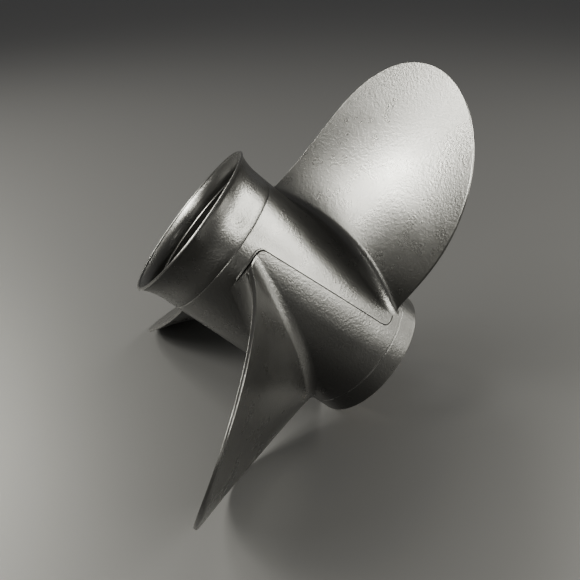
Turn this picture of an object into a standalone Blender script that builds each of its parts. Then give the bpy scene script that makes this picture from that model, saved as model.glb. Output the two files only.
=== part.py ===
"""Three-blade propeller of an outboard boat engine, lying on a table as it was photographed.

Every piece is modelled in the shaft frame: +Z runs aft along the shaft, the origin is the centre of the hub's
front edge, and blade 1 stands at an angle of 0. An empty then lays the whole propeller down: the shaft leans,
blade 1 points up, and two blades and the hub's front edge touch the table at z = 0.
"""

import math

import bmesh
import bpy
from mathutils import Matrix, Vector

MM = 0.001

# Hub barrel, front end at z = 0
HUB_LENGTH = 135.1 * MM
FRONT_LINE = 11.7 * MM
AFT_LINE = 112.8 * MM
BARREL_FRONT_RADIUS = 41.5 * MM
BARREL_AFT_RADIUS = 42.7 * MM
BARREL_WALL = 3.4 * MM
BARREL_SIDES = 64
COLLAR_OUTER_ROUND = 0.8 * MM
COLLAR_BORE_ROUND = 0.5 * MM

# Flared exhaust ring at the aft end
FLARE_START = 117.0 * MM
FLARE_RADIUS = 46.5 * MM
FLARE_POWER = 3.0
FLARE_STEPS = 6
LIP_WALL = 2.0 * MM
LIP_ROUND = 0.6 * MM
STEP_DEPTH = 9.9 * MM
STEP_HEIGHT = 1.9 * MM

# Inner hub with its rubber bushing and splined sleeve
INNER_HUB_FRONT = 7.0 * MM
INNER_HUB_AFT = 88.0 * MM
INNER_HUB_RADIUS = 30.5 * MM
INNER_HUB_ROUND = 1.0 * MM
INNER_HUB_BORE_ROUND = 0.8 * MM
INNER_SIDES = 48
BUSHING_RADIUS = 25.5 * MM
BUSHING_FRONT = 11.0 * MM
BUSHING_AFT = 82.0 * MM
BUSHING_LIP_RADIUS = 22.0 * MM
BUSHING_OUTER_ROUND = 1.5 * MM
BUSHING_BORE_ROUND = 1.0 * MM
SLEEVE_RADIUS = 16.5 * MM
SLEEVE_FRONT = 5.0 * MM
SLEEVE_AFT = 90.0 * MM
SLEEVE_SIDES = 52
SPLINE_TEETH = 13
SPLINE_ROOT_RADIUS = 12.6 * MM
SPLINE_TIP_RADIUS = 11.0 * MM
SPLINE_ROOT_LAND = (0.0, 0.4)
SPLINE_TIP_LAND = (0.55, 0.85)
RIB_THICKNESS = 6.0 * MM
RIB_FRONT = 13.0 * MM
RIB_AFT = 86.0 * MM
RIB_ROUNDING = 1.8 * MM

# Blades. Each section lies on a helix of constant pitch. Its chord, skew and thickness vary from root to tip
BLADE_COUNT = 3
TIP_RADIUS = 147.5 * MM
PITCH = 413.0 * MM
RAKE_DEGREES = 9.2
ROOT_MIDDLE = 60.8 * MM
ROOT_CHORD = 105.5 * MM
CHORD_GROWTH = 144.4 * MM
CHORD_POWER = 1.55
TIP_FULLNESS = 1.16
SKEW_BACK_DEGREES = 15.0
SKEW_FORWARD_DEGREES = 18.2
ROOT_THICKNESS = 12.5 * MM
TIP_THICKNESS = 2.4 * MM
LEADING_EDGE_THICKNESS = 1.6 * MM
TRAILING_EDGE_AT_ROOT = 2.4 * MM
TRAILING_EDGE_AT_TIP = 1.3 * MM
THINNING_POWER = 1.3
THICKEST_POWER = 0.85
BLADE_STATIONS = 18
STATION_POWER = 1.8
LAST_STATION = 0.9992
SIDE_POINTS = 13
FOOT_PANELS = 6
TAPER_FADE_POWER = 4

# Root fillets: radius at the leading edge, at the middle and at the trailing edge, on each side of the blade
FILLET_PRESSURE = (3.0 * MM, 8.0 * MM, 9.0 * MM)
FILLET_SUCTION = (2.5 * MM, 5.0 * MM, 4.0 * MM)
FILLET_SWELL_POWER = 0.7
FILLET_HEIGHTS = (0.0, 0.6 * MM, 1.6 * MM, 3.2 * MM, 5.6 * MM)
FILLET_SINK = 0.5 * MM
AFT_CUT = 104.0 * MM

# How the propeller lies
SHAFT_LEAN_DEGREES = 41.76
BLADE_ROLL_DEGREES = 14.23

# Clear space between neighbouring pieces, and from the barrel to the middle of a blade's foot
GAP = 0.3 * MM
FOOT_CLEARANCE = 0.6 * MM


def material(name, colour, roughness, metallic):
    made = bpy.data.materials.new(name)
    made.use_nodes = True
    shader = made.node_tree.nodes["Principled BSDF"]
    shader.inputs["Base Color"].default_value = (*colour, 1.0)
    shader.inputs["Roughness"].default_value = roughness
    shader.inputs["Metallic"].default_value = metallic
    return made


def add_piece(name, mesh, finish, parent, collection):
    mesh.materials.append(finish)
    piece = bpy.data.objects.new(name, mesh)
    piece.parent = parent
    collection.objects.link(piece)
    return piece


def arc_corner(before, corner, after, radius, steps=3):
    """Points of a rounded corner between two straight runs of a profile."""
    into = (before - corner).normalized()
    out = (after - corner).normalized()
    half = into.angle(out) / 2
    reach = radius / math.tan(half)
    centre = corner + (into + out).normalized() * (radius / math.sin(half))
    start = corner + into * reach - centre
    end = corner + out * reach - centre
    turn = start.angle_signed(end)
    return [centre + Matrix.Rotation(-turn * i / steps, 2) @ start for i in range(steps + 1)]


def rounded_profile(corners):
    """Closed profile from (radius, height, corner rounding) rows."""
    points = []
    for i, (radius, height, rounding) in enumerate(corners):
        corner = Vector((radius, height))
        if rounding:
            before = Vector(corners[i - 1][:2])
            after = Vector(corners[(i + 1) % len(corners)][:2])
            points += arc_corner(before, corner, after, rounding)
        else:
            points.append(corner)
    return points


def turned(name, profile, finish, parent, collection, sides=BARREL_SIDES):
    """A ring: the profile runs down its outer side and up its bore, and a Screw turns it about Z."""
    mesh = bpy.data.meshes.new(name)
    edges = [(i, (i + 1) % len(profile)) for i in range(len(profile))]
    mesh.from_pydata([(p[0], 0.0, p[1]) for p in profile], edges, [])
    piece = add_piece(name, mesh, finish, parent, collection)
    screw = piece.modifiers.new("turn", "SCREW")
    screw.axis = "Z"
    screw.steps = screw.render_steps = sides
    screw.use_merge_vertices = True
    screw.merge_threshold = 0.00001
    screw.use_smooth_shade = True
    return piece


def barrel_radius(z):
    """Outer radius of the barrel, which widens slightly towards the aft end."""
    slope = (BARREL_AFT_RADIUS - BARREL_FRONT_RADIUS) / (AFT_LINE - FRONT_LINE)
    return BARREL_FRONT_RADIUS + slope * (z - FRONT_LINE)


def flare_radius(z):
    """Outer radius aft of the barrel, where the wall curls out to the lip."""
    share = max(0.0, (z - FLARE_START) / (HUB_LENGTH - FLARE_START))
    return barrel_radius(z) + (FLARE_RADIUS - barrel_radius(HUB_LENGTH)) * share**FLARE_POWER


def make_front_collar(finish, parent, collection):
    bore = BARREL_FRONT_RADIUS - BARREL_WALL
    top = FRONT_LINE - GAP / 2
    profile = rounded_profile([
        (barrel_radius(top), top, 0),
        (barrel_radius(0), 0.0, COLLAR_OUTER_ROUND),
        (bore, 0.0, COLLAR_BORE_ROUND),
        (bore, top, 0),
    ])
    turned("front_collar", profile, finish, parent, collection)


def make_hub_barrel(finish, parent, collection):
    bottom = FRONT_LINE + GAP / 2
    top = AFT_LINE - GAP / 2
    profile = rounded_profile([
        (barrel_radius(top), top, 0),
        (barrel_radius(bottom), bottom, 0),
        (BARREL_FRONT_RADIUS - BARREL_WALL, bottom, 0),
        (BARREL_AFT_RADIUS - BARREL_WALL, top, 0),
    ])
    turned("hub_barrel", profile, finish, parent, collection)


def make_diffuser_flare(finish, parent, collection):
    """The flared ring: a machined counterbore widens its mouth down to a small inner step."""
    bottom = AFT_LINE + GAP / 2
    step = HUB_LENGTH - STEP_DEPTH
    cast_bore = BARREL_AFT_RADIUS - BARREL_WALL
    outer = []
    for i in range(FLARE_STEPS + 1):
        z = HUB_LENGTH - LIP_ROUND - (HUB_LENGTH - LIP_ROUND - FLARE_START) * i / FLARE_STEPS
        outer.append(Vector((flare_radius(z), z)))
    lip = arc_corner(
        Vector((FLARE_RADIUS - LIP_WALL, HUB_LENGTH)),
        Vector((FLARE_RADIUS, HUB_LENGTH)),
        Vector((FLARE_RADIUS, FLARE_START)),
        LIP_ROUND,
    )
    inner = []
    for i in range(FLARE_STEPS):
        share = i / FLARE_STEPS
        z = step + STEP_HEIGHT / 2 + (HUB_LENGTH - step - STEP_HEIGHT / 2) * share
        bore = cast_bore + STEP_HEIGHT
        widening = (FLARE_RADIUS - LIP_WALL - bore) * share**FLARE_POWER
        inner.append(Vector((bore + widening, z)))
    inner.append(Vector((FLARE_RADIUS - LIP_WALL, HUB_LENGTH)))
    profile = [
        *lip,
        *outer[1:],
        Vector((barrel_radius(bottom), bottom)),
        Vector((cast_bore, bottom)),
        Vector((cast_bore, step)),
        *inner,
    ]
    turned("diffuser_flare", profile, finish, parent, collection)


def make_inner_hub(finish, parent, collection):
    """Tube inside the barrel. A lip at its aft end stops the rubber bushing."""
    seat = BUSHING_RADIUS + GAP
    profile = rounded_profile([
        (INNER_HUB_RADIUS, INNER_HUB_AFT, INNER_HUB_ROUND),
        (INNER_HUB_RADIUS, INNER_HUB_FRONT, INNER_HUB_ROUND),
        (seat, INNER_HUB_FRONT, INNER_HUB_BORE_ROUND),
        (seat, BUSHING_AFT + GAP, 0),
        (BUSHING_LIP_RADIUS, BUSHING_AFT + GAP, 0),
        (BUSHING_LIP_RADIUS, INNER_HUB_AFT, INNER_HUB_BORE_ROUND),
    ])
    turned("inner_hub", profile, finish, parent, collection, sides=INNER_SIDES)


def make_rubber_bushing(finish, parent, collection):
    profile = rounded_profile([
        (BUSHING_RADIUS, BUSHING_AFT, 0),
        (BUSHING_RADIUS, BUSHING_FRONT, BUSHING_OUTER_ROUND),
        (SLEEVE_RADIUS + GAP, BUSHING_FRONT, BUSHING_BORE_ROUND),
        (SLEEVE_RADIUS + GAP, BUSHING_AFT, 0),
    ])
    turned("rubber_bushing", profile, finish, parent, collection, sides=INNER_SIDES)


def circle_points(radius, count):
    angles = [math.tau * i / count for i in range(count)]
    return [(radius * math.cos(angle), radius * math.sin(angle)) for angle in angles]


def spline_points():
    """Outline of the splined bore: each tooth has a land at its tip and one at its root."""
    corners = [(share, SPLINE_ROOT_RADIUS) for share in SPLINE_ROOT_LAND]
    corners += [(share, SPLINE_TIP_RADIUS) for share in SPLINE_TIP_LAND]
    points = []
    for tooth in range(SPLINE_TEETH):
        for share, radius in corners:
            angle = (tooth + share) * math.tau / SPLINE_TEETH
            points.append((radius * math.cos(angle), radius * math.sin(angle)))
    return points


def make_splined_sleeve(finish, parent, collection):
    """Splined sleeve: a filled outline with the splined bore as its hole, extruded along the shaft."""
    outline = bpy.data.curves.new("splined_sleeve_outline", "CURVE")
    outline.dimensions = "2D"
    outline.fill_mode = "BOTH"
    outline.extrude = (SLEEVE_AFT - SLEEVE_FRONT) / 2
    for points in (circle_points(SLEEVE_RADIUS, SLEEVE_SIDES), spline_points()):
        run = outline.splines.new("POLY")
        run.points.add(len(points) - 1)
        for point, (x, y) in zip(run.points, points):
            point.co = (x, y, 0.0, 1.0)
        run.use_cyclic_u = True
    outline.materials.append(finish)
    sleeve = bpy.data.objects.new("splined_sleeve", outline)
    sleeve.location.z = (SLEEVE_FRONT + SLEEVE_AFT) / 2
    sleeve.parent = parent
    collection.objects.link(sleeve)


def make_rib(number, finish, parent, collection):
    """Web that carries the inner hub inside the barrel."""
    inner = INNER_HUB_RADIUS + GAP
    bore = barrel_radius(RIB_FRONT) - BARREL_WALL
    outer = math.sqrt(bore**2 - (RIB_THICKNESS / 2) ** 2) - GAP
    shape = bmesh.new()
    bmesh.ops.create_cube(shape, size=1.0)
    size = (outer - inner, RIB_THICKNESS, RIB_AFT - RIB_FRONT)
    bmesh.ops.scale(shape, vec=size, verts=shape.verts)
    bmesh.ops.translate(
        shape, vec=((inner + outer) / 2, 0.0, (RIB_FRONT + RIB_AFT) / 2), verts=shape.verts
    )
    ends = [e for e in shape.edges if abs(e.verts[0].co.z - e.verts[1].co.z) < GAP
            and abs(e.verts[0].co.y - e.verts[1].co.y) < GAP]
    bmesh.ops.bevel(shape, geom=ends, offset=RIB_ROUNDING, segments=2, affect="EDGES")
    mesh = bpy.data.meshes.new(f"rib_{number}")
    shape.to_mesh(mesh)
    shape.free()
    rib = add_piece(f"rib_{number}", mesh, finish, parent, collection)
    rib.rotation_euler.z = math.tau * (number - 1) / BLADE_COUNT


def fillet_radius(s, sizes):
    """Fillet radius at a share s of the chord, from its sizes at the two ends and the middle."""
    leading, middle, trailing = sizes
    ends = leading + (trailing - leading) * s
    return ends + (middle - ends) * math.sin(math.pi * s) ** FILLET_SWELL_POWER


def section_outline(chord, share):
    """Blade section from its leading edge, as (x along the chord, y to the suction side, fillet radius) rows."""
    thickest = TIP_THICKNESS + (ROOT_THICKNESS - TIP_THICKNESS) * (1 - share) ** THINNING_POWER
    trailing = TRAILING_EDGE_AT_ROOT + (TRAILING_EDGE_AT_TIP - TRAILING_EDGE_AT_ROOT) * share
    body = thickest - trailing
    shares = [(1 - math.cos(math.pi * i / (SIDE_POINTS - 1))) / 2 for i in range(SIDE_POINTS)]
    rows = [(s * chord, 0.0, fillet_radius(s, FILLET_PRESSURE)) for s in shares]
    for s in reversed(shares):
        edge = LEADING_EDGE_THICKNESS + (trailing - LEADING_EDGE_THICKNESS) * s
        y = edge + body * math.sin(math.pi * s**THICKEST_POWER)
        rows.append((s * chord, y, fillet_radius(s, FILLET_SUCTION)))
    return rows


def fillet_spread(height, radius):
    """How far a round root fillet reaches out from the blade's side at a height above the barrel."""
    rise = radius - height
    return radius - math.sqrt(radius**2 - rise**2) if rise > 0 else 0.0


def section_ring(radius, height):
    """Points of one blade section at a radius. height is its height above the barrel."""
    share = (radius - BARREL_FRONT_RADIUS) / (TIP_RADIUS - BARREL_FRONT_RADIUS)
    tip_round = math.sqrt(max(0.0, 1 - share**TIP_FULLNESS))
    chord = tip_round * (ROOT_CHORD + CHORD_GROWTH * share**CHORD_POWER)
    lead = PITCH / math.tau
    slope = math.atan2(lead, radius)
    skew = math.radians(SKEW_FORWARD_DEGREES * share**2 - SKEW_BACK_DEGREES * share)
    middle = ROOT_MIDDLE + lead * skew + math.tan(math.radians(RAKE_DEGREES)) * (radius - BARREL_FRONT_RADIUS)
    outline = section_outline(chord, share)
    count = len(outline)
    ring = []
    for i, (x, y, fillet) in enumerate(outline):
        before, after = outline[i - 1], outline[(i + 1) % count]
        run = Vector((after[0] - before[0], after[1] - before[1]))
        outward = Vector((run.y, -run.x)).normalized()
        spread = fillet_spread(height + FILLET_SINK, fillet)
        along = x - chord / 2 + outward.x * spread
        across = y + outward.y * spread
        arc = along * math.cos(slope) + across * math.sin(slope)
        z = min(middle + along * math.sin(slope) - across * math.cos(slope), AFT_CUT)
        fade = (1 - share) ** TAPER_FADE_POWER
        out = radius + (barrel_radius(z) - barrel_radius(ROOT_MIDDLE)) * fade
        angle = skew + arc / radius
        ring.append(Vector((out * math.cos(angle), out * math.sin(angle), z)))
    return ring


def close_root(shape, ring):
    """Closes the blade's foot with faces that follow the round barrel."""
    lines = []
    for i in range(SIDE_POINTS):
        pressure, suction = ring[i], ring[-1 - i]
        start = math.atan2(pressure.co.y, pressure.co.x)
        turn = math.atan2(suction.co.y, suction.co.x) - start
        line = [pressure]
        panels = FOOT_PANELS if 0 < i < SIDE_POINTS - 1 else 1
        for j in range(1, panels):
            share = j / FOOT_PANELS
            angle = start + turn * share
            z = pressure.co.z + (suction.co.z - pressure.co.z) * share
            radius = barrel_radius(z) + FOOT_CLEARANCE
            line.append(shape.verts.new((radius * math.cos(angle), radius * math.sin(angle), z)))
        line.append(suction)
        lines.append(line)
    for one, other in zip(lines[1:-1], lines[2:-1]):
        for j in range(FOOT_PANELS):
            shape.faces.new((one[j], one[j + 1], other[j + 1], other[j]))
    for end, inside in ((lines[0], lines[1]), (lines[-1], lines[-2])):
        shape.faces.new((end[0], end[-1], *reversed(inside)))


def blade_mesh(name):
    """Loft through the blade's sections, from the root fillet to the round tip."""
    root = barrel_radius(ROOT_MIDDLE) + GAP
    rings = [section_ring(root + height, height) for height in FILLET_HEIGHTS]
    start = root + FILLET_HEIGHTS[-1]
    for i in range(1, BLADE_STATIONS + 1):
        share = min(1 - (1 - i / BLADE_STATIONS) ** STATION_POWER, LAST_STATION)
        radius = start + (TIP_RADIUS - start) * share
        rings.append(section_ring(radius, radius - root))
    shape = bmesh.new()
    rows = [[shape.verts.new(point) for point in ring] for ring in rings]
    for lower, upper in zip(rows, rows[1:]):
        for i in range(len(lower)):
            shape.faces.new((lower[i - 1], lower[i], upper[i], upper[i - 1]))
    close_root(shape, rows[0])
    for i in range(SIDE_POINTS - 1):
        tip = rows[-1]
        shape.faces.new((tip[i], tip[i + 1], tip[-2 - i], tip[-1 - i]))
    bmesh.ops.triangulate(shape, faces=shape.faces)
    bmesh.ops.recalc_face_normals(shape, faces=shape.faces)
    mesh = bpy.data.meshes.new(name)
    shape.to_mesh(mesh)
    shape.free()
    mesh.shade_smooth()
    return mesh


def make_blades(finish, parent, collection):
    for number in range(1, BLADE_COUNT + 1):
        name = f"blade_{number}"
        blade = add_piece(name, blade_mesh(name), finish, parent, collection)
        blade.rotation_euler.z = math.tau * (number - 1) / BLADE_COUNT


def lay_down(root, pieces):
    """Leans the shaft, rolls blade 1 up, and moves the box's bottom centre to the origin."""
    lean = math.radians(SHAFT_LEAN_DEGREES)
    aft = Vector((-math.cos(lean), 0.0, math.sin(lean)))
    side = Vector((0.0, 1.0, 0.0))
    up = side.cross(aft)
    frame = Matrix((up, side, aft)).transposed().to_4x4()
    root.matrix_world = frame @ Matrix.Rotation(math.radians(BLADE_ROLL_DEGREES), 4, "Z")
    bpy.context.view_layer.update()
    graph = bpy.context.evaluated_depsgraph_get()
    points = []
    for piece in pieces:
        shown = piece.evaluated_get(graph)
        mesh = shown.to_mesh()
        points += [shown.matrix_world @ vertex.co for vertex in mesh.vertices]
        shown.to_mesh_clear()
    low = [min(p[axis] for p in points) for axis in range(3)]
    high = [max(p[axis] for p in points) for axis in range(3)]
    root.location -= Vector(((low[0] + high[0]) / 2, (low[1] + high[1]) / 2, low[2]))


def main():
    for existing in list(bpy.data.objects):
        bpy.data.objects.remove(existing)
    collection = bpy.data.collections.new("boat_propeller")
    bpy.context.scene.collection.children.link(collection)
    root = bpy.data.objects.new("shaft_frame", None)
    collection.objects.link(root)

    paint = material("painted_casting", (0.02, 0.02, 0.02), 0.38, 0.0)
    rubber = material("bushing_rubber", (0.015, 0.015, 0.015), 0.85, 0.0)
    brass = material("sleeve_brass", (0.62, 0.46, 0.22), 0.35, 1.0)

    make_front_collar(paint, root, collection)
    make_hub_barrel(paint, root, collection)
    make_diffuser_flare(paint, root, collection)
    make_inner_hub(paint, root, collection)
    for number in range(1, BLADE_COUNT + 1):
        make_rib(number, paint, root, collection)
    make_rubber_bushing(rubber, root, collection)
    make_splined_sleeve(brass, root, collection)
    make_blades(paint, root, collection)
    lay_down(root, [piece for piece in collection.objects if piece is not root])


main()
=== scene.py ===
"""The look of an outboard boat propeller, dressed on its CAD frame.

The casting is drawn in the shaft frame: +Z runs aft along the shaft, the origin is the centre of the hub's
front edge, and blade 1 stands at an angle of 0. SHAFT_TO_TABLE lays it down on the table in the CAD's place.
"""

import math

import bpy
from mathutils import Matrix, Vector


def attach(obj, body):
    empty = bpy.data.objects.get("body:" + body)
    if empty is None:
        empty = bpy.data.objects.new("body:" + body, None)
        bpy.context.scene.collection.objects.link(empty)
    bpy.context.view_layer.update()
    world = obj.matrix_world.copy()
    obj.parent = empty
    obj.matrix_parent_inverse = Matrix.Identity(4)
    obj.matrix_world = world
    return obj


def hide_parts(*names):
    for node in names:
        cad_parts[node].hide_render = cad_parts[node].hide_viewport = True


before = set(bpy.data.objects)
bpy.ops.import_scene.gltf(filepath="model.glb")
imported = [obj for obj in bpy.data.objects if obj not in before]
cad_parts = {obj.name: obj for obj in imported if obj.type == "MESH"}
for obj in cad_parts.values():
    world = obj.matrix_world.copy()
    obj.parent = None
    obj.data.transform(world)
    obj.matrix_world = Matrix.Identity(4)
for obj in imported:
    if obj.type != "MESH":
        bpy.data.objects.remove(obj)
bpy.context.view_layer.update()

MM = 0.001

# Place of the propeller on the table, as in the CAD
SHAFT_LEAN_DEGREES = 41.76
BLADE_ROLL_DEGREES = 14.23
HUB_FRONT = Vector((51.17, 13.79, 30.48)) * MM

# Camera as the photo was taken
CAMERA_PLACE = Vector((6.56, -288.97, 253.63)) * MM
CAMERA_TURN_DEGREES = (59.41, 0.92, -0.29)
CAMERA_LENS_MM = 37.6
CAMERA_SENSOR_MM = 36.0
CAMERA_CLIP = 10.0 * MM

# Hub
HUB_LENGTH = 135.1 * MM
FRONT_LINE = 11.7 * MM
AFT_LINE = 112.8 * MM
BARREL_FRONT_RADIUS = 41.5 * MM
BARREL_AFT_RADIUS = 42.7 * MM
BARREL_WALL = 3.4 * MM
FLARE_START = 117.0 * MM
FLARE_RADIUS = 46.5 * MM
FLARE_POWER = 3.0
LIP_WALL = 2.0 * MM
STEP_DEPTH = 9.9 * MM
STEP_HEIGHT = 1.9 * MM
STEP_CHAMFER = 0.3 * MM
STEP_TAPER = 0.05 * MM
STEP_FOOT = 0.5 * MM
COLLAR_ROUND = 0.9 * MM
COLLAR_BORE_CHAMFER = 0.4 * MM
GROOVE_WIDTH = 0.9 * MM
GROOVE_DEPTH = 0.2 * MM

# Die line, from a trailing edge to the next blade's leading edge: the corners of its path, as
# (distance along the shaft in mm, degrees round it from blade 1, radius of the corner in mm)
DIE_CORNERS = (
    (103.1, -93.3, 0.0),
    (104.0, -66.4, 4.8),
    (17.6, -55.1, 6.0),
    (17.8, -44.0, 4.0),
    (15.9, -39.0, 0.0),
)
SEAM_WIDTH = 0.65 * MM
SEAM_DEPTH = 0.6 * MM
SEAM_WIDTH_AFT = 1.1 * MM
SEAM_DEPTH_AFT = 0.9 * MM
SEAM_MARGIN = 1.0 * MM
SEAM_RIM = 0.25 * MM
SEAM_RIM_FADE = (0.3 * MM, 0.9 * MM)

# The seam is wide over the first stretch of its path and slims down between these two lengths
SEAM_SLIMS = (16.8 * MM, 24.0 * MM)

# Draft: the barrel falls away beside the die line's long stretch, but not near its front or up the blades
DRAFT_SLOPE = 0.05
DRAFT_REACH = 16.0 * MM
DRAFT_FADE_FRONT = (20.0 * MM, 30.0 * MM)
DRAFT_FADE_HEIGHT = 8.0 * MM

# Blades
BLADE_COUNT = 3
TIP_RADIUS = 147.5 * MM
PITCH = 413.0 * MM
RAKE_DEGREES = 9.2
ROOT_MIDDLE = 60.8 * MM
ROOT_CHORD = 105.5 * MM
CHORD_GROWTH = 144.4 * MM
CHORD_POWER = 1.55
TIP_FULLNESS = 1.16
SKEW_BACK_DEGREES = 15.0
SKEW_FORWARD_DEGREES = 18.2
ROOT_THICKNESS = 12.5 * MM
TIP_THICKNESS = 2.4 * MM
LEADING_EDGE_THICKNESS = 1.6 * MM
TRAILING_EDGE_AT_ROOT = 2.4 * MM
TRAILING_EDGE_AT_TIP = 1.3 * MM
EDGE_ROUNDING = 0.4 * MM
THINNING_POWER = 1.3
THICKEST_POWER = 0.85
SLIM_CHORD = 30.0 * MM
AFT_CUT = 103.4 * MM
LAST_STATION = 0.9996

# Root fillets: radius at the leading edge, at the middle and at the trailing edge, on each side of the blade
FILLET_PRESSURE = (3.0 * MM, 8.0 * MM, 9.0 * MM)
FILLET_SUCTION = (2.5 * MM, 5.0 * MM, 5.5 * MM)
FILLET_SWELL_POWER = 0.7
FILLET_STRETCH = 1.4
FILLET_TOP = 12.0 * MM
ROOT_BULGE = 1.3 * MM
NEAR_ROOT_POWER = 4

# Counts of rows, columns and points, and how closely they crowd together at one end
CORNER_POINTS = 12
LIP_ROWS = 8
FLARE_ROWS = 18
MOUTH_ROWS = 12
GROOVE_ROWS = 8
AFT_ROWS = 21
FORE_ROWS = 27
COLLAR_ROWS = 8
LINE_COLUMNS = 110
FOOT_COLUMNS = 48
FILLET_ROWS = 44
BLADE_STATIONS = 56
SIDE_POINTS = 30
EDGE_POINTS = 4
NOSE_POINTS = 6
CROWDING = 2
FORE_CROWDING = 1.5
SHARP_ANGLE_DEGREES = 35

# Looks. A grain is the scale of a noise and the height of its bump
NOISE_RANGE = (0.3, 0.7)
PAINT_COLOUR = (0.004, 0.0039, 0.0037)
PAINT_IOR = 1.7
PAINT_ROUGHNESS = (0.26, 0.31)
PAINT_PATCHES = 60.0
COARSE_GRAIN = (600.0, 0.19 * MM)
FINE_GRAIN = (1100.0, 0.13 * MM)
GRAIN_OUTSIDE = 0.5
GRAIN_INSIDE = 0.4
RUBBER_COLOUR = (0.018, 0.018, 0.018)
RUBBER_ROUGHNESS = 0.8
RUBBER_GRAIN = (1500.0, 0.05 * MM)
RUBBER_GRAIN_STRENGTH = 0.5
BRASS_COLOUR = (0.55, 0.40, 0.18)
BRASS_ROUGHNESS = (0.25, 0.42)
BRASS_MARKS = 400.0

# Studio lights: name, azimuth from +Y towards +X, elevation, width and height in degrees, strength in watts
# a square metre
LIGHT_DISTANCE = 1.25
LIGHT_AIM = Vector((0.0, 0.0, 0.08))
LIGHT_COLOUR = (1.0, 0.98, 0.87)
SOFTBOXES = (
    ("left_key", -90, 35, 20, 10, 390),
    ("left_key_low", -95, 25, 10, 10, 120),
    ("left_front", -110, 40, 20, 20, 140),
    ("left_side", -125, 35, 10, 10, 170),
    ("left_side_low", -140, 25, 20, 10, 70),
    ("left_back", -55, 35, 30, 10, 165),
    ("left_top", -100, 55, 20, 10, 42),
    ("right_key", 85, 34, 50, 16, 113),
    ("right_front", 125, 25, 30, 10, 137),
    ("right_low", 85, 5, 50, 10, 28),
    ("right_top", 155, 55, 10, 10, 30),
    ("front_low", 180, 10, 40, 20, 6),
)
WORLD_STRENGTH = 0.18
FLOOR_HALF = 6.0
FLOOR_COLOUR = (0.03, 0.03, 0.031)
FLOOR_ROUGHNESS = 0.45


def shaft_to_table():
    """Placement of the shaft frame on the table."""
    lean = math.radians(SHAFT_LEAN_DEGREES)
    aft = Vector((-math.cos(lean), 0.0, math.sin(lean)))
    side = Vector((0.0, 1.0, 0.0))
    up = side.cross(aft)
    laid = Matrix((up, side, aft)).transposed().to_4x4()
    roll = Matrix.Rotation(math.radians(BLADE_ROLL_DEGREES), 4, "Z")
    return Matrix.Translation(HUB_FRONT) @ laid @ roll


SHAFT_TO_TABLE = shaft_to_table()


def node(tree, kind, **inputs):
    """Adds a shader node and sets its unlinked inputs, whose names are written with underscores."""
    made = tree.nodes.new(kind)
    for name, value in inputs.items():
        made.inputs[name.replace("_", " ")].default_value = value
    return made


def surface(name, colour, roughness, metallic=0.0):
    """A material with a Principled shader, and object coordinates for its textures."""
    made = bpy.data.materials.new(name)
    made.use_nodes = True
    tree = made.node_tree
    shader = tree.nodes["Principled BSDF"]
    shader.inputs["Base Color"].default_value = (*colour, 1.0)
    shader.inputs["Roughness"].default_value = roughness
    shader.inputs["Metallic"].default_value = metallic
    place = node(tree, "ShaderNodeTexCoord")
    return made, tree, shader, place.outputs["Object"]


def noise(tree, place, scale, detail=3.0, roughness=0.6):
    made = node(tree, "ShaderNodeTexNoise", Scale=scale, Detail=detail, Roughness=roughness)
    tree.links.new(place, made.inputs["Vector"])
    return made.outputs["Fac"]


def spread(tree, source, limits):
    """Stretches the middle of a noise's range to new limits."""
    made = node(tree, "ShaderNodeMapRange")
    made.inputs["From Min"].default_value = NOISE_RANGE[0]
    made.inputs["From Max"].default_value = NOISE_RANGE[1]
    made.inputs["To Min"].default_value = limits[0]
    made.inputs["To Max"].default_value = limits[1]
    tree.links.new(source, made.inputs["Value"])
    return made.outputs["Result"]


def bump(tree, height, distance, strength, normal=None):
    made = node(tree, "ShaderNodeBump", Strength=strength, Distance=distance)
    tree.links.new(height, made.inputs["Height"])
    if normal:
        tree.links.new(normal, made.inputs["Normal"])
    return made.outputs["Normal"]


def black_paint(name, grain):
    """Satin black paint. grain is how strongly the cast skin shows through it."""
    made, tree, shader, place = surface(name, PAINT_COLOUR, PAINT_ROUGHNESS[0])
    shader.inputs["IOR"].default_value = PAINT_IOR
    patches = noise(tree, place, PAINT_PATCHES, detail=4.0)
    tree.links.new(spread(tree, patches, PAINT_ROUGHNESS), shader.inputs["Roughness"])
    coarse = noise(tree, place, COARSE_GRAIN[0], detail=2.0)
    fine = noise(tree, place, FINE_GRAIN[0], detail=1.0)
    skin = bump(tree, coarse, COARSE_GRAIN[1], grain)
    skin = bump(tree, fine, FINE_GRAIN[1], grain, skin)
    tree.links.new(skin, shader.inputs["Normal"])
    return made


def rubber_look():
    made, tree, shader, place = surface("bushing_rubber", RUBBER_COLOUR, RUBBER_ROUGHNESS)
    skin = bump(tree, noise(tree, place, RUBBER_GRAIN[0]), RUBBER_GRAIN[1], RUBBER_GRAIN_STRENGTH)
    tree.links.new(skin, shader.inputs["Normal"])
    return made


def brass_look():
    made, tree, shader, place = surface("sleeve_brass", BRASS_COLOUR, BRASS_ROUGHNESS[0], metallic=1.0)
    marks = noise(tree, place, BRASS_MARKS)
    tree.links.new(spread(tree, marks, BRASS_ROUGHNESS), shader.inputs["Roughness"])
    return made


def add_piece(name, vertices, faces, look, stands_for, turn=0.0):
    """Adds a piece drawn in the shaft frame, turned about the shaft and laid on the table."""
    mesh = bpy.data.meshes.new(name)
    mesh.from_pydata(vertices, [], faces)
    mesh.transform(SHAFT_TO_TABLE @ Matrix.Rotation(turn, 4, "Z"))
    mesh.materials.append(look)
    mesh.shade_smooth()
    mesh.set_sharp_from_angle(angle=math.radians(SHARP_ANGLE_DEGREES))
    piece = bpy.data.objects.new(name, mesh)
    bpy.context.scene.collection.objects.link(piece)
    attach(piece, "root")
    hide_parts(*stands_for)


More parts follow.
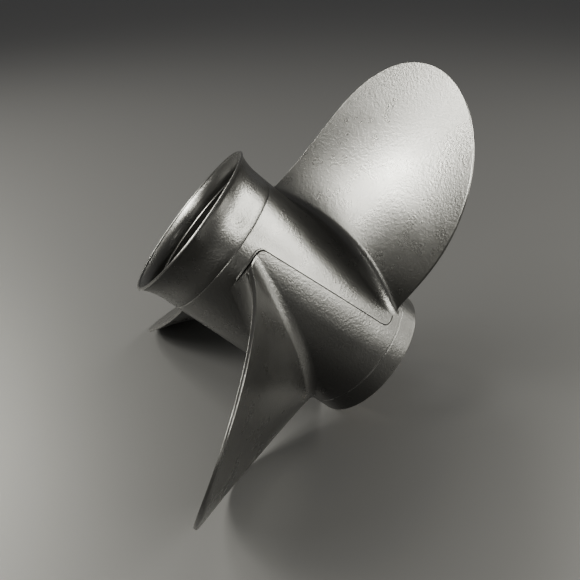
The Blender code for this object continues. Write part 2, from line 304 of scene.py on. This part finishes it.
def ease(value, low, high):
    """Rises smoothly from 0 at low to 1 at high."""
    share = min(max((value - low) / (high - low), 0.0), 1.0)
    return share * share * (3 - 2 * share)


def barrel_radius(z):
    """Outer radius of the barrel, which widens slightly towards the aft end."""
    slope = (BARREL_AFT_RADIUS - BARREL_FRONT_RADIUS) / (AFT_LINE - FRONT_LINE)
    return BARREL_FRONT_RADIUS + slope * (z - FRONT_LINE)


def flare_radius(z):
    """Outer radius of the flare, which curls out to the lip."""
    share = max(0.0, (z - FLARE_START) / (HUB_LENGTH - FLARE_START))
    return barrel_radius(z) + (FLARE_RADIUS - barrel_radius(HUB_LENGTH)) * share**FLARE_POWER


def helix_height(angle):
    """Distance along the shaft of the blade's root line, at an angle from the blade's middle."""
    return ROOT_MIDDLE + PITCH / math.tau * angle


def die_path():
    """The die line's path with its corners rounded, as points (metres round the barrel, metres along it)."""
    corners = [Vector((math.radians(a) * BARREL_AFT_RADIUS, z * MM)) for z, a, _ in DIE_CORNERS]
    path = [corners[0]]
    for before, corner, after, row in zip(corners, corners[1:], corners[2:], DIE_CORNERS[1:]):
        back, on = (before - corner).normalized(), (after - corner).normalized()
        reach = row[2] * MM / math.tan(back.angle(on) / 2)
        start, end = corner + back * reach, corner + on * reach
        for i in range(CORNER_POINTS + 1):
            share = i / CORNER_POINTS
            path.append(start.lerp(corner, share).lerp(corner.lerp(end, share), share))
    path.append(corners[-1])
    return path


def die_columns():
    """Columns round one blade's sector. A column is (angle, the seam's place along the shaft, half its width
    there, share of the aft seam's size)."""
    path = die_path()
    lengths = [0.0]
    for before, after in zip(path, path[1:]):
        lengths.append(lengths[-1] + (after - before).length)
    columns = []
    for i in range(LINE_COLUMNS):
        along = lengths[-1] * i / LINE_COLUMNS
        k = max(j for j in range(len(lengths) - 1) if lengths[j] <= along)
        stretch = path[k + 1] - path[k]
        around, z = path[k] + stretch * (along - lengths[k]) / stretch.length
        aft = 1 - ease(along, *SEAM_SLIMS)
        width = SEAM_WIDTH + (SEAM_WIDTH_AFT - SEAM_WIDTH) * aft
        columns.append((around / BARREL_AFT_RADIUS, z, width / 2 * stretch.length / stretch.x, aft))
    start = path[-1].x / BARREL_AFT_RADIUS
    end = path[0].x / BARREL_AFT_RADIUS + math.tau / BLADE_COUNT
    for i in range(FOOT_COLUMNS):
        angle = start + (end - start) * i / FOOT_COLUMNS
        columns.append((angle, helix_height(angle), SEAM_WIDTH / 2, 0.0))
    return columns


def line_angle(z):
    """Angle of the die line's long stretch at a distance along the shaft."""
    aft, fore = DIE_CORNERS[1:3]
    share = (z / MM - aft[0]) / (fore[0] - aft[0])
    return math.radians(aft[1] + (fore[1] - aft[1]) * share)


def draft(z, angle):
    """How far the casting's draft drops the barrel on the low side of the die line."""
    gap = (line_angle(z) - angle) % (math.tau / BLADE_COUNT) * BARREL_AFT_RADIUS
    if gap > DRAFT_REACH:
        return 0.0
    return -DRAFT_SLOPE * gap * (1 - gap / DRAFT_REACH) * ease(z, *DRAFT_FADE_FRONT)


def groove(z):
    """Rows of a fine turned groove with its middle at z."""
    rows = []
    for i in range(GROOVE_ROWS + 1):
        share = i / GROOVE_ROWS
        sink = GROOVE_DEPTH * math.sin(math.pi * share) ** 2
        rows.append((z + GROOVE_WIDTH * (0.5 - share), barrel_radius(z) - sink))
    return rows


def flare_rows():
    """Rows over the lip's round edge, and down the flare's outer side to where it starts."""
    rounding = LIP_WALL / 2
    start = HUB_LENGTH - rounding
    rows = []
    for i in range(LIP_ROWS + 1):
        turn = math.pi * i / LIP_ROWS
        z = start + rounding * math.sin(turn)
        rows.append((z, FLARE_RADIUS - rounding - rounding * math.cos(turn)))
    for i in range(1, FLARE_ROWS + 1):
        z = start - (start - FLARE_START) * i / FLARE_ROWS
        rows.append((z, flare_radius(z)))
    return rows


def collar_rows():
    """Rows of the collar, from the front line down to its rounded edge."""
    top = FRONT_LINE - GROOVE_WIDTH
    rows = []
    for i in range(COLLAR_ROWS):
        z = top + (COLLAR_ROUND - top) * i / COLLAR_ROWS
        rows.append((z, barrel_radius(z)))
    for i in range(COLLAR_ROWS + 1):
        turn = math.pi / 2 * i / COLLAR_ROWS
        sink = COLLAR_ROUND * (1 - math.cos(turn))
        rows.append((COLLAR_ROUND * (1 - math.sin(turn)), barrel_radius(COLLAR_ROUND) - sink))
    return rows


def bore_rows():
    """Rows up the inside of the barrel, over the small step, to the lip."""
    front_bore = BARREL_FRONT_RADIUS - BARREL_WALL
    aft_bore = BARREL_AFT_RADIUS - BARREL_WALL
    mouth_bore = aft_bore + STEP_HEIGHT
    step = HUB_LENGTH - STEP_DEPTH
    rows = [
        (0.0, front_bore + COLLAR_BORE_CHAMFER),
        (COLLAR_BORE_CHAMFER, front_bore),
        (step - STEP_CHAMFER, aft_bore),
        (step, aft_bore + STEP_CHAMFER),
        (step + STEP_TAPER, mouth_bore),
    ]
    top = HUB_LENGTH - LIP_WALL / 2
    low = step + STEP_FOOT
    for i in range(MOUTH_ROWS):
        share = i / MOUTH_ROWS
        z = low + (top - low) * share
        rows.append((z, mouth_bore + (FLARE_RADIUS - LIP_WALL - mouth_bore) * share**FLARE_POWER))
    return rows


def hub_rows(angle, die_height, half, aft):
    """All rows of the hub's skin in one column, as (distance along the shaft, radius)."""
    rows = flare_rows() + groove(AFT_LINE)
    top = AFT_LINE - GROOVE_WIDTH
    bottom = FRONT_LINE + GROOVE_WIDTH
    split = min(max(die_height, bottom + 2 * SEAM_MARGIN), top - 2 * SEAM_MARGIN)
    high = min(split + half, top - SEAM_MARGIN)
    low = max(split - half, bottom + SEAM_MARGIN)
    for i in range(AFT_ROWS + 1):
        z = high + (top - high) * (1 - i / AFT_ROWS) ** CROWDING
        rim = SEAM_RIM * aft * (1 - ease(z - high, *SEAM_RIM_FADE))
        rows.append((z, barrel_radius(z) + rim))
    depth = SEAM_DEPTH + (SEAM_DEPTH_AFT - SEAM_DEPTH) * aft
    rows.append((split, barrel_radius(split) - depth))
    for i in range(FORE_ROWS + 1):
        z = low - (low - bottom) * (i / FORE_ROWS) ** FORE_CROWDING
        rows.append((z, barrel_radius(z) + draft(z, angle)))
    return rows + groove(FRONT_LINE) + collar_rows() + bore_rows()


def make_hub(look):
    """The barrel's skin from lip to front edge and back up its bore, one column of points at a time."""
    vertices = []
    columns = die_columns()
    for sector in range(BLADE_COUNT):
        for column in columns:
            turn = column[0] + sector * math.tau / BLADE_COUNT
            rows = hub_rows(*column)
            vertices += [(r * math.cos(turn), r * math.sin(turn), z) for z, r in rows]
    height = len(rows)
    width = len(columns) * BLADE_COUNT
    faces = []
    for i in range(width):
        for j in range(height):
            a = i * height + j
            b = i * height + (j + 1) % height
            c = (i + 1) % width * height + (j + 1) % height
            d = (i + 1) % width * height + j
            faces.append((a, b, c, d))
    stands_for = ("front_collar", "hub_barrel", "diffuser_flare")
    add_piece("hub_casting", vertices, faces, look, stands_for)


def section_outline(chord, share):
    """Blade section's outline. A row is (x along the chord, y to the suction side, share of the chord, side),
    where side is 1 on the suction side."""
    thickest = TIP_THICKNESS + (ROOT_THICKNESS - TIP_THICKNESS) * (1 - share) ** THINNING_POWER
    trail = TRAILING_EDGE_AT_ROOT + (TRAILING_EDGE_AT_TIP - TRAILING_EDGE_AT_ROOT) * share
    body = (thickest - trail) * min(1.0, chord / SLIM_CHORD)
    bulge = ROOT_BULGE * (1 - share) ** NEAR_ROOT_POWER
    lead = LEADING_EDGE_THICKNESS / 2
    bevel = EDGE_ROUNDING
    shares = [(1 - math.cos(math.pi * i / (SIDE_POINTS - 1))) / 2 for i in range(SIDE_POINTS)]
    rows = []
    for s in shares:
        rows.append((lead + (chord - lead - bevel) * s, -bulge * math.sin(math.pi * s), s, 0))
    for side, middle in ((0, bevel), (1, trail - bevel)):
        for i in range(1, EDGE_POINTS + 1):
            turn = math.pi / 2 * (i / EDGE_POINTS + side - 1)
            rows.append((chord - bevel + bevel * math.cos(turn), middle + bevel * math.sin(turn), 1.0, side))
    for s in reversed(shares):
        edge = 2 * lead + (trail - 2 * lead) * s
        y = edge + body * math.sin(math.pi * s**THICKEST_POWER)
        rows.append((lead + (chord - lead - bevel) * s, y, s, 1))
    for i in range(1, NOSE_POINTS):
        turn = math.pi * i / NOSE_POINTS
        side = 1 if i < NOSE_POINTS / 2 else 0
        rows.append((lead - lead * math.sin(turn), lead + lead * math.cos(turn), 0.0, side))
    return rows


def fillet_radius(s, side):
    """Radius of the root fillet at a share s of the chord."""
    first, middle, last = FILLET_SUCTION if side else FILLET_PRESSURE
    ends = first + (last - first) * s
    return ends + (middle - ends) * math.sin(math.pi * s) ** FILLET_SWELL_POWER


def fillet_spread(height, s, side):
    """How far the root fillet reaches out from the blade's side at a height above the barrel."""
    radius = fillet_radius(s, side)
    stretch = 1.0 if side else FILLET_STRETCH
    rise = max(0.0, radius - height)
    return stretch * (radius - math.sqrt(radius**2 - rise**2))


def section_ring(radius, height):
    """Points of one blade section at a radius, which is at a height above the barrel."""
    share = (radius - BARREL_FRONT_RADIUS) / (TIP_RADIUS - BARREL_FRONT_RADIUS)
    tip_round = math.sqrt(max(0.0, 1 - share**TIP_FULLNESS))
    chord = tip_round * (ROOT_CHORD + CHORD_GROWTH * share**CHORD_POWER)
    lead = PITCH / math.tau
    slope = math.atan2(lead, radius)
    skew = math.radians(SKEW_FORWARD_DEGREES * share**2 - SKEW_BACK_DEGREES * share)
    rake = math.tan(math.radians(RAKE_DEGREES)) * (radius - BARREL_FRONT_RADIUS)
    middle = ROOT_MIDDLE + lead * skew + rake
    outline = section_outline(chord, share)
    count = len(outline)
    ring = []
    for i, (x, y, s, side) in enumerate(outline):
        before, after = outline[i - 1], outline[(i + 1) % count]
        run = Vector((after[0] - before[0], after[1] - before[1]))
        outward = Vector((run.y, -run.x)).normalized()
        spread_out = fillet_spread(height, s, side)
        along = x - chord / 2 + outward.x * spread_out
        across = y + outward.y * spread_out
        arc = along * math.cos(slope) + across * math.sin(slope)
        z = min(middle + along * math.sin(slope) - across * math.cos(slope), AFT_CUT)
        fade = (1 - share) ** NEAR_ROOT_POWER
        reach = radius + (barrel_radius(z) - barrel_radius(ROOT_MIDDLE)) * fade
        angle = skew + arc / radius
        reach += draft(z, angle) * (1 - ease(height, 0.0, DRAFT_FADE_HEIGHT))
        ring.append((reach * math.cos(angle), reach * math.sin(angle), z))
    return ring


def blade_shape():
    """Vertices and faces of a blade: rings through the root fillet, then stations out to the tip."""
    root = barrel_radius(ROOT_MIDDLE)
    heights = [FILLET_TOP * (i / FILLET_ROWS) ** CROWDING for i in range(FILLET_ROWS + 1)]
    rings = [section_ring(root + h, h) for h in heights]
    start = root + heights[-1]
    for i in range(1, BLADE_STATIONS + 1):
        share = min(1 - (1 - i / BLADE_STATIONS) ** CROWDING, LAST_STATION)
        radius = start + (TIP_RADIUS - start) * share
        rings.append(section_ring(radius, radius - root))
    around = len(rings[0])
    faces = []
    for k in range(len(rings) - 1):
        for i in range(around):
            j = (i + 1) % around
            faces.append((k * around + i, k * around + j, (k + 1) * around + j, (k + 1) * around + i))
    faces.append(tuple(reversed(range(around))))
    last = (len(rings) - 1) * around
    faces.append(tuple(range(last, last + around)))
    return [point for ring in rings for point in ring], faces


def make_blades(look):
    vertices, faces = blade_shape()
    for number in range(1, BLADE_COUNT + 1):
        name = f"blade_{number}_casting"
        turn = math.tau * (number - 1) / BLADE_COUNT
        add_piece(name, vertices, faces, look, (f"blade_{number}",), turn)


def dress_frame(name, look):
    """Gives a CAD piece that stays shown its own look."""
    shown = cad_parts[name]
    shown.data.materials.clear()
    shown.data.materials.append(look)
    for face in shown.data.polygons:
        face.material_index = 0


def add_softbox(name, azimuth, elevation, wide, high, strength):
    """A flat light that faces the propeller from a direction, sized as it is seen from there."""
    around, up = math.radians(azimuth), math.radians(elevation)
    out = Vector((math.sin(around) * math.cos(up), math.cos(around) * math.cos(up), math.sin(up)))
    lamp = bpy.data.lights.new(name, "AREA")
    lamp.shape = "RECTANGLE"
    lamp.size = 2 * LIGHT_DISTANCE * math.tan(math.radians(wide / 2)) * math.cos(up)
    lamp.size_y = 2 * LIGHT_DISTANCE * math.tan(math.radians(high / 2))
    lamp.energy = strength * lamp.size * lamp.size_y
    lamp.color = LIGHT_COLOUR
    holder = bpy.data.objects.new(name, lamp)
    holder.location = LIGHT_AIM + out * LIGHT_DISTANCE
    holder.rotation_euler = (-out).to_track_quat("-Z", "Y").to_euler()
    bpy.context.scene.collection.objects.link(holder)


def make_floor():
    corners = [(-1, -1), (1, -1), (1, 1), (-1, 1)]
    mesh = bpy.data.meshes.new("floor")
    mesh.from_pydata([(x * FLOOR_HALF, y * FLOOR_HALF, 0.0) for x, y in corners], [], [(0, 1, 2, 3)])
    mesh.materials.append(surface("floor", FLOOR_COLOUR, FLOOR_ROUGHNESS)[0])
    floor = bpy.data.objects.new("floor", mesh)
    bpy.context.scene.collection.objects.link(floor)


def make_lights():
    world = bpy.data.worlds.new("studio")
    world.use_nodes = True
    background = world.node_tree.nodes["Background"]
    background.inputs["Color"].default_value = (1.0, 1.0, 1.0, 1.0)
    background.inputs["Strength"].default_value = WORLD_STRENGTH
    bpy.context.scene.world = world
    for softbox in SOFTBOXES:
        add_softbox(*softbox)


def make_camera():
    lens = bpy.data.cameras.new("photo_camera")
    lens.lens = CAMERA_LENS_MM
    lens.sensor_width = CAMERA_SENSOR_MM
    lens.clip_start = CAMERA_CLIP
    camera = bpy.data.objects.new("photo_camera", lens)
    camera.location = CAMERA_PLACE
    camera.rotation_euler = [math.radians(a) for a in CAMERA_TURN_DEGREES]
    bpy.context.scene.collection.objects.link(camera)
    bpy.context.scene.camera = camera


def main():
    cast_paint = black_paint("cast_paint", GRAIN_OUTSIDE)
    make_hub(cast_paint)
    make_blades(cast_paint)
    inner_paint = black_paint("inner_paint", GRAIN_INSIDE)
    for name in ("inner_hub", "rib_1", "rib_2", "rib_3"):
        dress_frame(name, inner_paint)
    dress_frame("rubber_bushing", rubber_look())
    dress_frame("splined_sleeve", brass_look())
    make_floor()
    make_lights()
    make_camera()


main()
bpy.context.view_layer.update()
